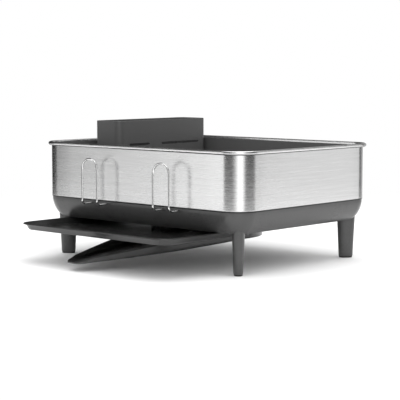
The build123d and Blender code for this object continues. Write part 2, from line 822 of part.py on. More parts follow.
def rib_slots(places):
    """Pairs of ribs on both long walls of the caddy that hold a divider between them."""
    offset = divider_wall / 2 + divider_gap + divider_rib / 2
    with Locations([(caddy_x, y + side * offset) for y in places for side in (-1, 1)]):
        Rectangle(caddy_width - caddy_wall, divider_rib)
        Rectangle(caddy_width - 2 * caddy_wall - 2 * divider_rib, divider_rib, mode=Mode.SUBTRACT)


# ---- Utensil caddy: tall open box with drain holes, two grip slots and divider guides ------------
caddy_floor = rack_floor_top
caddy_inner_floor = caddy_floor + caddy_wall
drain_columns = int((caddy_width - caddy_corner) // caddy_drain_pitch)
drain_rows = int((caddy_length - caddy_corner) // caddy_drain_pitch)
grip_slots = ((grip_front_start, grip_front_length), (grip_back_start, grip_back_length))

with BuildPart() as utensil_caddy:
    with BuildSketch(Plane.XY.offset(caddy_floor)):
        with Locations((caddy_x, caddy_y)):
            RectangleRounded(caddy_width, caddy_length, caddy_corner)
    extrude(amount=caddy_top - caddy_floor)
    fillet(utensil_caddy.edges().group_by(Axis.Z)[-1], caddy_edge)
    with BuildSketch(Plane.XY.offset(caddy_inner_floor)):
        with Locations((caddy_x, caddy_y)):
            RectangleRounded(caddy_width - 2 * caddy_wall, caddy_length - 2 * caddy_wall,
                             caddy_corner - caddy_wall)
    extrude(amount=caddy_top - caddy_inner_floor, mode=Mode.SUBTRACT)
    with BuildSketch(Plane.XY.offset(caddy_inner_floor)):
        rib_slots(divider_places.values())
    extrude(amount=divider_top - caddy_inner_floor)
    with BuildSketch(Plane.XY.offset(caddy_floor)):
        with Locations((caddy_x, caddy_y)):
            with GridLocations(caddy_drain_pitch, caddy_drain_pitch, drain_columns, drain_rows):
                Circle(caddy_drain_radius)
    extrude(amount=caddy_wall, mode=Mode.SUBTRACT)
    with BuildSketch(Plane.YZ.offset(caddy_right - 2 * caddy_wall)):
        for start, long in grip_slots:
            with Locations((caddy_front + start + long / 2, caddy_top - grip_drop)):
                SlotOverall(long, grip_height)
    extrude(amount=3 * caddy_wall, mode=Mode.SUBTRACT)
save(utensil_caddy.part, "utensil_caddy")


def make_divider(name, y):
    """Thin upright plate across the caddy with a dipped top edge."""
    span = caddy_width - 2 * caddy_wall - 2 * divider_gap
    with BuildPart() as divider:
        with BuildSketch(Plane.XZ.offset(-y)):
            with Locations((caddy_x, caddy_inner_floor)):
                Rectangle(span, divider_top - caddy_inner_floor, align=(Align.CENTER, Align.MIN))
            with Locations((caddy_x, divider_top)):
                Ellipse(span / 2 - 4 * divider_rib, divider_dip, mode=Mode.SUBTRACT)
        extrude(amount=divider_wall / 2, both=True)
    save(divider.part, f"caddy_divider_{name}")


for divider_name, divider_y in divider_places.items():
    make_divider(divider_name, divider_y)
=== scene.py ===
import json
import logging
import math
from dataclasses import dataclass
from enum import Enum
from typing import Any, Sequence

import bpy
import numpy as np
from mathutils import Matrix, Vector


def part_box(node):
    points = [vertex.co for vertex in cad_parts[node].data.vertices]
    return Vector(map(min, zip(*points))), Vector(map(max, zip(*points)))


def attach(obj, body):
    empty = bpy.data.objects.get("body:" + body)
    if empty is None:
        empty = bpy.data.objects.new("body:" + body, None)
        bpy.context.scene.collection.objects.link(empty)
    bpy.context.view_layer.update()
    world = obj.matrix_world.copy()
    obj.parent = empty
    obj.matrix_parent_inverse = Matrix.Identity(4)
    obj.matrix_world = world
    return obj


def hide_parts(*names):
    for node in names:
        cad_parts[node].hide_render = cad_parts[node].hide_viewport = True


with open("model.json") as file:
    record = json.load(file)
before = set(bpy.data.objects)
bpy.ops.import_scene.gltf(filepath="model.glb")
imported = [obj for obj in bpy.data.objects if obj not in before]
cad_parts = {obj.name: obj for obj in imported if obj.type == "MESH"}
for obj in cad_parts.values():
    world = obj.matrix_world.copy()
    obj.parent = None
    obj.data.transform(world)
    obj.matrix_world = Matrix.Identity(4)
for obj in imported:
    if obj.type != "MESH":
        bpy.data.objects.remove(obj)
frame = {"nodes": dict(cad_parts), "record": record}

log = logging.getLogger("dish_rack")
MM = 0.001
ARC_POINTS = 16
SIDE_POINTS = 9
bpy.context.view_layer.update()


class Side(Enum):
    """Left or right along X."""

    LEFT = "left"
    RIGHT = "right"


class Corner(Enum):
    """The rack's four corners, each named as its leg is."""

    FRONT_LEFT = "front_left"
    FRONT_RIGHT = "front_right"
    BACK_LEFT = "back_left"
    BACK_RIGHT = "back_right"

    @property
    def signs(self) -> tuple[float, float]:
        """Which way the corner lies along X and Y."""
        return (-1.0 if "left" in self.value else 1.0, -1.0 if "front" in self.value else 1.0)


def cad_box(node: str) -> tuple[np.ndarray, np.ndarray]:
    """Lowest and highest corners of a CAD node at rest, in millimetres."""
    low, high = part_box(node)
    return np.array(low) / MM, np.array(high) / MM


def place(
    piece: bpy.types.Object, finish: bpy.types.Material, slot: str, body: str, *nodes: str
) -> bpy.types.Object:
    """Dress a new piece, let it ride on its body and stand in for CAD nodes.

    Args:
        piece: the new piece.
        finish: its material.
        slot: the record's material slot; not used.
        body: the body it moves with.
        nodes: the CAD nodes it replaces.

    Returns:
        The piece.
    """
    piece.data.materials.append(finish)
    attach(piece, body)
    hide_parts(*nodes)
    log.info("%s: %d faces, on %s", piece.name, len(piece.data.polygons), body)
    return piece


# ---- Surfaces --------------------------------------------------------------------------


class Surface:
    """Collects patches of points, in millimetres, and turns them into one mesh object."""

    def __init__(self, name: str) -> None:
        """Start an empty surface.

        Args:
            name: name of the Blender object.
        """
        self.name = name
        self.points: list[np.ndarray] = []
        self.quads: list[np.ndarray] = []
        self.triangles: list[np.ndarray] = []
        self.flats: list[np.ndarray] = []
        self.count = 0

    def add(self, points: np.ndarray) -> int:
        """Add points.

        Args:
            points: any array whose last axis is 3 long.

        Returns:
            The index of the first of them.
        """
        start = self.count
        self.points.append(points.reshape(-1, 3))
        self.count += len(self.points[-1])
        return start

    def grid(self, points: np.ndarray, wrap_rows: bool = False, wrap_columns: bool = True) -> int:
        """Add a grid of points as quads.

        The quad between rows i, i+1 and columns j, j+1 faces the side from which its corners
        (i, j), (i, j+1), (i+1, j+1), (i+1, j) run anticlockwise.

        Args:
            points: array of rows by columns by 3.
            wrap_rows: whether the last row joins the first.
            wrap_columns: whether the last column joins the first.

        Returns:
            The index of the grid's first point.
        """
        rows, columns = points.shape[:2]
        start = self.add(points)
        index = start + np.arange(rows * columns).reshape(rows, columns)
        i = np.arange(rows if wrap_rows else rows - 1)[:, None]
        j = np.arange(columns if wrap_columns else columns - 1)[None, :]
        near, far = i % rows, (i + 1) % rows
        left, right = j % columns, (j + 1) % columns
        corners = (near, left), (near, right), (far, right), (far, left)
        quads = np.stack([index[corner] for corner in corners], -1)
        self.quads.append(quads.reshape(-1, 4))
        return start

    def cap(self, first: int, columns: int, centre: np.ndarray, outward: bool) -> None:
        """Close a ring of points with triangles round one centre point.

        Args:
            first: index of the ring's first point.
            columns: how many points the ring has.
            centre: the centre point.
            outward: whether the fan keeps the ring's own turning sense.
        """
        middle = self.add(np.asarray(centre, float).reshape(1, 3))
        ring = first + np.arange(columns)
        after = first + (np.arange(columns) + 1) % columns
        pair = (ring, after) if outward else (after, ring)
        self.triangles.append(np.stack([*pair, np.full(columns, middle)], -1))

    def tube(self, rows: np.ndarray) -> None:
        """Add rows of rings as a closed skin, with a fan over the first ring and the last.

        Args:
            rows: rings by points by 3; each ring runs anticlockwise as seen from the last.
        """
        count, columns = rows.shape[:2]
        first = self.grid(rows)
        self.cap(first, columns, rows[0].mean(0), False)
        self.cap(first + (count - 1) * columns, columns, rows[-1].mean(0), True)

    def face(self, ring: np.ndarray) -> None:
        """Fill a flat ring of points with one face that turns in the ring's own sense."""
        self.flats.append(ring[None, :])

    def build(self, sharp_angle: float = 38.0) -> bpy.types.Object:
        """Make the mesh object, smooth except where faces meet at more than an angle.

        Args:
            sharp_angle: the angle in degrees past which an edge stays sharp.

        Returns:
            The new object, linked into the scene.
        """
        mesh = bpy.data.meshes.new(self.name)
        groups = self.quads + self.triangles + self.flats
        faces = [face for group in groups for face in group.tolist()]
        mesh.from_pydata((np.concatenate(self.points) * MM).tolist(), [], faces)
        mesh.polygons.foreach_set("use_smooth", np.ones(len(faces), bool))
        mesh.set_sharp_from_angle(angle=math.radians(sharp_angle))
        mesh.validate()
        mesh.update()
        piece = bpy.data.objects.new(self.name, mesh)
        bpy.context.scene.collection.objects.link(piece)
        return piece


# ---- Shader graphs ---------------------------------------------------------------------


class Value:
    """A shader socket that can be used in ordinary arithmetic."""

    def __init__(self, graph: "Graph", socket: bpy.types.NodeSocket) -> None:
        """Wrap one output socket of a graph."""
        self.graph = graph
        self.socket = socket

    def _math(self, operation: str, first: Any, second: Any) -> "Value":
        """Add one Math node with the operation."""
        return self.graph.node("ShaderNodeMath", {"operation": operation}, {0: first, 1: second})

    def __add__(self, other: Any) -> "Value":
        """Sum."""
        return self._math("ADD", self, other)

    __radd__ = __add__

    def __sub__(self, other: Any) -> "Value":
        """Difference."""
        return self._math("SUBTRACT", self, other)

    def __rsub__(self, other: Any) -> "Value":
        """Difference, the other way round."""
        return self._math("SUBTRACT", other, self)

    def __mul__(self, other: Any) -> "Value":
        """Product."""
        return self._math("MULTIPLY", self, other)

    __rmul__ = __mul__


class Graph:
    """Node graph of one material or of the world."""

    def __init__(self, owner: bpy.types.ID, output: str) -> None:
        """Empty an owner's node tree and give it an output node.

        Args:
            owner: a material or a world.
            output: type of its output node.
        """
        owner.use_nodes = True
        self.tree = owner.node_tree
        self.tree.nodes.clear()
        self.output = self.tree.nodes.new(output)

    def node(
        self, kind: str, settings: dict[str, Any], inputs: dict[Any, Any], out: int | str = 0
    ) -> Value:
        """Add any node.

        Args:
            kind: the node's type.
            settings: the node's own settings, set first; "stops" fills a colour ramp.
            inputs: values or links for its sockets, by name or number.
            out: which output to return.

        Returns:
            That output as a Value.
        """
        node = self.tree.nodes.new(kind)
        for key, setting in settings.items():
            if key == "stops":
                self._stops(node.color_ramp, setting)
            else:
                setattr(node, key, setting)
        for key, given in inputs.items():
            if isinstance(given, Value):
                self.tree.links.new(given.socket, node.inputs[key])
            else:
                node.inputs[key].default_value = given
        return Value(self, node.outputs[out])

    @staticmethod
    def _stops(ramp: bpy.types.ColorRamp, stops: Sequence[tuple[float, tuple]]) -> None:
        """Fill a colour ramp.

        Args:
            ramp: the ramp.
            stops: (position, colour) pairs in rising order.
        """
        while len(ramp.elements) < len(stops):
            ramp.elements.new(1.0)
        for element, (position, colour) in zip(ramp.elements, stops):
            element.position = position
            element.color = (*colour, 1.0)

    def mix(self, factor: Any, first: Any, second: Any) -> Value:
        """Mix two colours by a factor."""
        socket = {0: factor, 6: first, 7: second}
        return self.node("ShaderNodeMix", {"data_type": "RGBA"}, socket, out=2)

    def ramp(self, value: Value, low: float, high: float) -> Value:
        """Smooth step from 0 at low to 1 at high."""
        sockets = {"Value": value, "From Min": low, "From Max": high}
        return self.node("ShaderNodeMapRange", {"interpolation_type": "SMOOTHSTEP"}, sockets)

    def place(self, scale: tuple[float, float, float] = (1, 1, 1)) -> Value:
        """Object coordinates, scaled along each axis."""
        spot = self.node("ShaderNodeTexCoord", {}, {}, out="Object")
        return self.node("ShaderNodeMapping", {}, {"Vector": spot, "Scale": scale})

    def noise(self, scale: float, detail: float = 3.0, stretch: tuple = (1, 1, 1)) -> Value:
        """Noise from 0 to 1 in object space; scale is in cycles per metre."""
        sockets = {"Vector": self.place(stretch), "Scale": scale, "Detail": detail}
        return self.node("ShaderNodeTexNoise", {}, sockets)

    def relief(self, height: Value, strength: float, depth: float) -> Value:
        """Bumped normal; depth is in millimetres."""
        sockets = {"Strength": strength, "Distance": depth * MM, "Height": height}
        return self.node("ShaderNodeBump", {}, sockets)

    def finish(self, shader: Value) -> None:
        """Link the last shader to the output."""
        self.tree.links.new(shader.socket, self.output.inputs["Surface"])

    def paint(self, sockets: dict[str, Any]) -> None:
        """Finish with a Principled shader that has the given sockets."""
        self.finish(self.node("ShaderNodeBsdfPrincipled", {}, sockets))


def grey(level: float) -> tuple[float, float, float, float]:
    """A neutral colour in linear values."""
    return (level, level, level, 1.0)


def new_material(name: str) -> tuple[bpy.types.Material, Graph]:
    """Make a material with an empty graph."""
    material = bpy.data.materials.new(name)
    return material, Graph(material, "ShaderNodeOutputMaterial")


Pattern = tuple[float, float, tuple[float, float, float]]


@dataclass(frozen=True)
class BrushedSteel:
    """Stainless sheet with fine brushing that runs level round the band, with shade painted near
    black into its bottom bend and into the crease under its rolled rim.

    Each pattern is a noise's cycles per metre, detail and stretch along X, Y and Z.
    """

    name: str = "brushed_steel"
    level: float = 0.86
    tones: tuple[float, float] = (0.72, 1.16)
    # near-black colour painted in as shade in the bottom bend and in the crease under the rim
    painted_shade_level: float = 0.03
    roughness: float = 0.265
    grain: float = 0.10
    wear: float = 0.06
    bump: float = 0.05
    bump_depth: float = 0.15
    stretch: float = 0.22
    stretch_turn: float = 0.25
    fine: Pattern = (42.0, 5.0, (1, 1, 70))
    broad: Pattern = (11.0, 3.0, (1, 1, 40))
    cloud: Pattern = (7.0, 2.0, (1, 1, 1))
    fine_share: float = 0.4
    # heights in mm over which the painted shade at the bottom bend fades out, then the crease under
    # the rim where shade is painted, and its reach
    bottom_shade_band: tuple[float, float] = (96.9, 98.3)
    crease: float = 180.6
    crease_reach: tuple[float, float] = (0.4, 1.5)

    def painted_shade_mask(self, graph: Graph) -> Value:
        """Painted shade mask: 0 in the bottom bend and in the crease under the rolled rim, where
        shade falls.

        It is the product of two smooth steps, one in z and one in |z - z0|.

        Args:
            graph: the material's graph.

        Returns:
            The mask.
        """
        height = graph.node("ShaderNodeSeparateXYZ", {}, {"Vector": graph.place()}, out="Z")
        bottom_shade_band = graph.ramp(height, self.bottom_shade_band[0] * MM, self.bottom_shade_band[1] * MM)
        offset = height - self.crease * MM
        away = graph.node("ShaderNodeMath", {"operation": "ABSOLUTE"}, {0: offset})
        return bottom_shade_band * graph.ramp(away, self.crease_reach[0] * MM, self.crease_reach[1] * MM)

    def material(self) -> bpy.types.Material:
        """Make the material: long level streaks of two scales on colour, gloss and relief.

        streak = share * fine + (1 - share) * broad, and the colour is the streaks, mixed by the
        mask to a near-black painted shade.
        The gloss is stretched upright, across the brushing, as on real brushed sheet.

        Returns:
            The material.
        """
        material, graph = new_material(self.name)
        fine, broad = graph.noise(*self.fine), graph.noise(*self.broad)
        cloud = graph.noise(*self.cloud)
        streak = fine * self.fine_share + broad * (1 - self.fine_share)
        low, high = (grey(self.level * tone) for tone in self.tones)
        brushed = graph.mix(streak, low, high)
        rough = self.roughness + (streak - 0.5) * self.grain + (cloud - 0.5) * self.wear
        sockets = {
            # painted shade: the colour goes near black in the bottom bend and under the rolled rim
            "Base Color": graph.mix(self.painted_shade_mask(graph), grey(self.painted_shade_level), brushed),
            "Metallic": 1.0,
            "Roughness": rough,
            "Normal": graph.relief(fine, self.bump, self.bump_depth),
            "Anisotropic": self.stretch,
            "Anisotropic Rotation": self.stretch_turn,
        }
        graph.paint(sockets)
        return material


@dataclass(frozen=True)
class PolishedSteel:
    """Bright round wire or turned metal, with faint drawing marks."""

    name: str = "polished_wire"
    level: float = 0.86
    roughness: float = 0.07
    tones: tuple[float, float] = (0.94, 1.05)
    marks: Pattern = (900.0, 3.0, (1, 1, 1))
    marring: float = 0.08
    bump: float = 0.05
    bump_depth: float = 0.1

    def material(self) -> bpy.types.Material:
        """Make the material: nearly mirror gloss broken by small soft marks.

        Returns:
            The material.
        """
        material, graph = new_material(self.name)
        marks = graph.noise(*self.marks)
        low, high = (grey(self.level * tone) for tone in self.tones)
        sockets = {
            "Base Color": graph.mix(marks, low, high),
            "Metallic": 1.0,
            "Roughness": self.roughness + (marks - 0.5) * self.marring,
            "Normal": graph.relief(marks, self.bump, self.bump_depth),
        }
        graph.paint(sockets)
        return material


@dataclass(frozen=True)
class MouldedPlastic:
    """Moulded plastic or rubber with a fine eroded grain."""

    name: str
    level: float
    roughness: float = 0.5
    specular: float = 0.5
    tones: tuple[float, float] = (0.88, 1.12)
    grain: Pattern = (1500.0, 2.0, (1, 1, 1))
    cloud: Pattern = (22.0, 3.0, (1, 1, 1))
    grain_share: float = 0.35
    cloud_gloss: float = 0.08
    grain_gloss: float = 0.10
    bump: float = 0.25
    bump_depth: float = 0.08

    def material(self) -> bpy.types.Material:
        """Make the material: grain in the relief, soft cloudiness in colour and gloss.

        Returns:
            The material.
        """
        material, graph = new_material(self.name)
        grain, cloud = graph.noise(*self.grain), graph.noise(*self.cloud)
        tone = grain * self.grain_share + cloud * (1 - self.grain_share)
        low, high = (grey(self.level * tone) for tone in self.tones)
        clouded = self.roughness + (cloud - 0.5) * self.cloud_gloss
        sockets = {
            "Base Color": graph.mix(tone, low, high),
            "Roughness": clouded + (grain - 0.5) * self.grain_gloss,
            "Normal": graph.relief(grain, self.bump, self.bump_depth),
            "Specular IOR Level": self.specular,
        }
        graph.paint(sockets)
        return material


# ---- Outlines and profiles -------------------------------------------------------------


def rounded_loop(
    half_x: float, half_y: float, radius: float, centre: tuple[float, float] = (0.0, 0.0)
) -> np.ndarray:
    """Rounded rectangle run anticlockwise, seen from above.

    Corner k is the arc centre + radius (cos a, sin a) with a from 90 k to 90 (k + 1) degrees,
    and each straight side is divided evenly between two arcs.

    Args:
        half_x: half its length along X.
        half_y: half its length along Y.
        radius: its corner radius.
        centre: its middle.

    Returns:
        An array of points by 2.
    """
    turn = np.radians(90.0) * (np.arange(4)[:, None] + np.linspace(0.0, 1.0, ARC_POINTS)[None, :])
    signs = np.array([(1, 1), (-1, 1), (-1, -1), (1, -1)], float)
    middles = signs * (half_x - radius, half_y - radius)
    corners = middles[:, None, :] + radius * np.stack([np.cos(turn), np.sin(turn)], -1)
    share = np.linspace(0.0, 1.0, SIDE_POINTS + 2)[1:-1][None, :, None]
    ends, starts = corners[:, -1:, :], np.roll(corners[:, :1, :], -1, axis=0)
    return np.concatenate([corners, ends + (starts - ends) * share], 1).reshape(-1, 2) + centre


def stack(loops: Sequence[np.ndarray], heights: Sequence[float]) -> np.ndarray:
    """Set flat loops of equal length at their heights.

    Args:
        loops: arrays of points by 2.
        heights: one height for each loop.

    Returns:
        The rows of a grid, loops by points by 3.
    """
    flat = np.stack(loops)
    level = np.broadcast_to(np.asarray(heights, float)[:, None, None], (*flat.shape[:2], 1))
    return np.concatenate([flat, level], -1)


def superellipse(
    half_x: float, half_y: float, power: float, count: int
) -> tuple[np.ndarray, np.ndarray]:
    """Points a sgn(cos t) |cos t|^p and b sgn(sin t) |sin t|^p for t right round.

    Args:
        half_x: the half size a.
        half_y: the half size b.
        power: the exponent p; 1 gives an ellipse and less squares it up.
        count: how many points.

    Returns:
        The two coordinates of the points.
    """
    angle = np.linspace(0.0, 2 * np.pi, count, endpoint=False)
    cosine, sine = np.cos(angle), np.sin(angle)
    x = half_x * np.sign(cosine) * np.abs(cosine) ** power
    y = half_y * np.sign(sine) * np.abs(sine) ** power
    return x, y


def arc_points(centre: tuple, radius: float, first: float, last: float, count: int) -> list[tuple]:
    """Points of an arc, centre + radius (cos a, sin a), between two angles in degrees."""
    angle = np.radians(np.linspace(first, last, count))
    return list(zip(centre[0] + radius * np.cos(angle), centre[1] + radius * np.sin(angle)))


# ---- Sub-assemblies --------------------------------------------------------------------


@dataclass
class SteelBand:
    """Sheet band with a hem turned in at the bottom and its top edge rolled outwards."""

    half_length: float = 215.0
    half_width: float = 161.5
    corner: float = 35.0
    bottom: float = 95.5
    sheet: float = 0.8
    hem: float = 2.6
    roll_centre: tuple[float, float] = (-2.5, 183.0)
    roll_radius: float = 3.0
    wall_rows: int = 7

    def profile(self) -> list[tuple[float, float]]:
        """Closed profile as (inset from the outer face, height).

        It runs up the outer face, right round the roll's circle, down the inner face and
        along the hem back to the bend at the bottom.

        Returns:
            The profile's points.
        """
        bend = (self.sheet, self.bottom + self.sheet)
        start = -90.0 - math.degrees(math.asin(self.roll_centre[0] / self.roll_radius))
        wall_top = self.roll_centre[1] + self.roll_radius * math.sin(math.radians(start))
        up = np.linspace(bend[1] + 3.0, wall_top - 0.6, self.wall_rows)
        down = np.linspace(self.roll_centre[1] - 1.2, bend[1] + 1.5, self.wall_rows)
        wall = [(0.0, height) for height in up]
        inner = [(self.sheet, height) for height in down]
        return [
            *arc_points(bend, self.sheet, 270.0, 180.0, 5),
            *wall,
            *arc_points(self.roll_centre, self.roll_radius, start, -360.0, 30),
            *inner,
            (self.sheet, bend[1]),
            (self.hem, bend[1]),
            (self.hem, self.bottom),
        ]

    def build(self, steel: bpy.types.Material) -> bpy.types.Object:
        """Carry the profile round the rounded rectangle: row i is the outline drawn in by inset i.

        Args:
            steel: the band's finish.

        Returns:
            The finished piece.
        """
        profile = self.profile()
        outer = np.array([self.half_length, self.half_width, self.corner])
        loops = [rounded_loop(*(outer - inset)) for inset, _ in profile]
        band = Surface("band_shell")
        band.grid(stack(loops, [height for _, height in profile]), wrap_rows=True)
        return place(band.build(), steel, "steel_band", "rack_base", "steel_band")


@dataclass
class DripTray:
    """Shallow tray with a flared wall, a rolled rim and a slot at the back for the drain."""

    node: str = "drip_tray"
    corner: float = 30.0
    notch: float = 22.0
    notch_middle: float = -92.0
    outlet: float = 10.0
    floor_rise: float = 2.0
    side_points: int = 13
    notch_points: int = 41
    outer_profile: tuple[tuple[float, float], ...] = (
        (17.0, 0.0), (13.0, 0.0), (11.0, 0.0), (9.9, 0.08), (9.0, 0.45), (8.3, 1.15), (7.3, 3.0),
        (4.5, 8.2), (4.1, 8.65), (3.6, 8.8), (0.9, 8.8), (0.35, 8.9), (0.05, 9.25), (0.0, 9.6),
        (0.1, 10.0),
        (0.4, 10.3), (0.9, 10.4), (4.4, 10.4), (5.0, 10.3), (5.5, 9.9), (9.8, 3.3), (10.5, 2.5),
        (11.6, 2.08), (13.0, 2.0), (17.0, 2.0),
    )
    notch_profile: tuple[tuple[float, float], ...] = (
        (5.0, 0.0), (3.5, 0.0), (2.0, 0.0), (0.8, 0.0), (0.3, 0.1), (0.05, 0.4), (0.0, 2.0),
        (0.0, 6.0), (0.0, 7.2), (0.0, 7.8), (0.0, 8.4), (0.0, 8.8), (0.0, 9.2), (0.02, 9.6),
        (0.12, 10.0), (0.35, 10.3), (0.7, 10.4), (1.3, 10.4), (1.7, 10.3), (1.95, 9.9),
        (2.0, 3.3), (2.3, 2.5), (2.9, 2.08), (3.8, 2.0), (5.0, 2.0),
    )

    def outline(
        self, edge: float, slot: float, low: np.ndarray, high: np.ndarray
    ) -> tuple[np.ndarray, np.ndarray]:
        """One anticlockwise outline with the slot let into its back.

        The outer part is a rounded rectangle drawn in by edge; the slot is two straight sides
        and a half circle, drawn outwards by slot.

        Args:
            edge: inset of the outer part.
            slot: growth of the slot.
            low: the tray's lowest corner.
            high: the tray's highest corner.

        Returns:
            The outline as points by 2, and a mask that is 1 on the slot's part.
        """
        half = (high[:2] - low[:2]) / 2 - edge
        middle = (high[:2] + low[:2]) / 2
        ring = rounded_loop(half[0], half[1], self.corner - edge, tuple(middle))
        ring = np.roll(ring, -(ARC_POINTS + SIDE_POINTS), axis=0)[: len(ring) - SIDE_POINTS]
        reach = self.notch + slot
        back = middle[1] + half[1]
        left, right = np.array([-reach, back]), np.array([reach, back])
        lead = np.linspace(0.0, 1.0, self.side_points + 1)[:-1, None]
        left_back = left + lead * (ring[0] - left)
        follow = np.linspace(0.0, 1.0, self.side_points + 2)[1:, None]
        right_back = ring[-1] + follow * (right - ring[-1])
        depth = np.array([0.0, self.notch_middle - back])
        side = np.linspace(0.0, 1.0, self.side_points + 1)[1:-1, None] * depth
        turn = np.radians(np.linspace(0.0, -180.0, self.notch_points))
        bottom = np.stack([reach * np.cos(turn), self.notch_middle + reach * np.sin(turn)], -1)
        down, rise = right + side, (left + side)[::-1]
        points = np.concatenate([left_back, ring, right_back, down, bottom, rise])
        on_slot = len(down) + len(bottom) + len(rise)
        mask = np.concatenate([np.zeros(len(points) - on_slot), np.ones(on_slot)])
        return points, mask

    def build(self, plastic: bpy.types.Material) -> bpy.types.Object:
        """Carry the two profiles round the outline and fill the flat floor.

        Args:
            plastic: the tray's finish.

        Returns:
            The finished piece.
        """
        low, high = cad_box(self.node)
        rows = []
        for (edge, rise), (slot, climb) in zip(self.outer_profile, self.notch_profile):
            points, mask = self.outline(edge, slot, low, high)
            near_end = (mask > 0) & (points[:, 1] < self.notch_middle)
            opening = np.clip((np.abs(points[:, 0]) - self.outlet + 2.0) / 3.0, 0.02, 1.0)
            lowered = self.floor_rise + (climb - self.floor_rise) * opening
            lip = np.where(near_end & (climb > self.floor_rise), lowered, climb)
            height = low[2] + np.where(mask > 0, lip, rise)
            rows.append(np.concatenate([points, height[:, None]], 1))
        tray = Surface("tray_shell")
        count = len(rows[0])
        first = tray.grid(np.stack(rows))
        tray.face(first + np.arange(count)[::-1])
        tray.face(first + (len(rows) - 1) * count + np.arange(count))
        return place(tray.build(), plastic, "dark_plastic", "tray", self.node)


@dataclass
class DrainSpout:
    """Round pan that narrows to a falling open channel, with a hub held by three arms."""

    node: str = "drain_spout"
    turn: float = -5.6
    pivot: tuple[float, float] = (0.0, 13.0)
    pan: float = 85.0
    length: float = 284.0
    tip_width: float = 38.0
    tip_corner: float = 12.0
    belly: float = 7.0
    wall: float = 2.2
    rim: tuple[tuple[float, ...], tuple[float, ...]] = ((85.0, 259.0, 285.0), (45.4, 21.0, 13.7))
    bed: tuple[tuple[float, ...], tuple[float, ...]] = ((0.0, 120.0, 285.0), (33.5, 23.0, 11.5))
    hub_inner: float = 16.05
    hub_outer: float = 20.0
    hub_bottom: float = 40.4
    hub_points: int = 64
    arm_half_width: float = 3.0
    arm_half_height: float = 2.0
    arm_middle: float = 43.4
    arm_squareness: float = 0.4
    arm_points: int = 24
    arm_rows: int = 8
    arm_headings: tuple[float, ...] = (0.0, 90.0, 180.0)
    floor_middle: tuple[float, float] = (0.0, -90.0)
    floor_rows: int = 22
    pan_points: int = 40
    flank_points: int = 59
    tip_points: int = 9

    def outline(self, shrink: float) -> np.ndarray:
        """Teardrop outline drawn in by shrink, anticlockwise, with the pan's middle at the origin.

        Its right half is an arc of the pan's circle, a flank (a quadratic curve through a
        bellied middle point) and a quarter circle at the tip; the left half mirrors it.

        Args:
            shrink: how far inside the outer edge the outline lies.

        Returns:
            An array of points by 2.
        """
        radius, tip, end = self.pan - shrink, self.tip_width / 2 - shrink, shrink - self.length
        lean = math.asin((self.pan - self.tip_width / 2) / self.length)
        shoulder = np.array([radius * math.cos(lean), -radius * math.sin(lean)])
        corner = np.array([tip, end + self.tip_corner])
        out = np.array([math.cos(lean), -math.sin(lean)])
        control = (shoulder + corner) / 2 + 2 * self.belly * out
        angle = np.linspace(-math.pi / 2, lean, self.pan_points)[:, None]
        share = np.linspace(0.0, 1.0, self.flank_points + 1)[1:, None]
        flank = (1 - share) ** 2 * shoulder + 2 * share * (1 - share) * control + share**2 * corner
        pan = radius * np.concatenate([np.cos(angle), -np.sin(angle)], 1)
        round_tip = np.linspace(0.0, math.pi / 2, self.tip_points + 1)[1:, None]
        quarter = np.concatenate([np.cos(round_tip), -np.sin(round_tip)], 1)
        nose = (tip - self.tip_corner, end + self.tip_corner) + self.tip_corner * quarter
        right = np.concatenate([pan, flank, nose])
        return np.concatenate([right * (-1.0, 1.0), right[:0:-1]])

    def turned(self, points: np.ndarray) -> np.ndarray:
        """Turn points about the pan's middle to the stored angle and put them in place.

        Args:
            points: any array whose last axis is 3 long, with the pan's middle at x = y = 0.

        Returns:
            The points in the rack's frame.
        """
        angle = math.radians(self.turn)
        spin = np.array([[math.cos(angle), math.sin(angle)], [-math.sin(angle), math.cos(angle)]])
        flat = points[..., :2] @ spin + self.pivot
        return np.concatenate([flat, points[..., 2:]], -1)

    def shell(self) -> np.ndarray:
        """Rows from the underside's middle out to the wall, over the rim and back in.

        Floor rows are the outline shrunk towards a middle point by a share; a point's height
        comes from the bed line or the rim line at its distance along the spout.

        Returns:
            Rows of rings by points by 3.
        """
        middle = np.array(self.floor_middle)
        shares = np.linspace(0.03, 0.985, self.floor_rows)
        outside, inside = self.outline(0.0), self.outline(self.wall)
        rows = [self._row(middle + (outside - middle) * share, 0.0, 0.0) for share in shares]
        bends = ((0.9, 0.0), (0.25, 0.25), (0.0, 0.9))
        rows += [self._row(self.outline(shrink), lift, 0.0) for shrink, lift in bends]
        rows += [self._row(self.outline(0.0), 0.0, share) for share in (0.3, 0.6, 0.85)]
        lips = ((0.0, -0.6), (0.2, -0.15), (0.7, 0.0), (1.5, 0.0), (2.0, -0.15), (2.2, -0.6))
        rows += [self._row(self.outline(shrink), lift, 1.0) for shrink, lift in lips]
        rows += [self._row(inside, self.wall * (1 - share), share) for share in (0.75, 0.5, 0.3)]
        coves = ((2.3, 3.3), (2.9, 2.5), (4.0, 2.2))
        rows += [self._row(self.outline(shrink), lift, 0.0) for shrink, lift in coves]
        inner = [middle + (inside - middle) * share for share in shares[::-1]]
        rows += [self._row(loop, self.wall, 0.0) for loop in inner]
        return np.stack(rows)

    def _row(self, outline: np.ndarray, lift: float, share: float) -> np.ndarray:
        """Give an outline its heights: bed + (rim - bed) share + lift, at most the rim's.

        Args:
            outline: points by 2.
            lift: a height added all round.
            share: 0 on the bed line, 1 on the rim line.

        Returns:
            Points by 3.
        """
        along = -outline[:, 1]
        bed, rim = np.interp(along, *self.bed), np.interp(along, *self.rim)
        height = bed + (rim - bed) * share + lift
        return np.concatenate([outline, np.minimum(height, rim)[:, None]], 1)

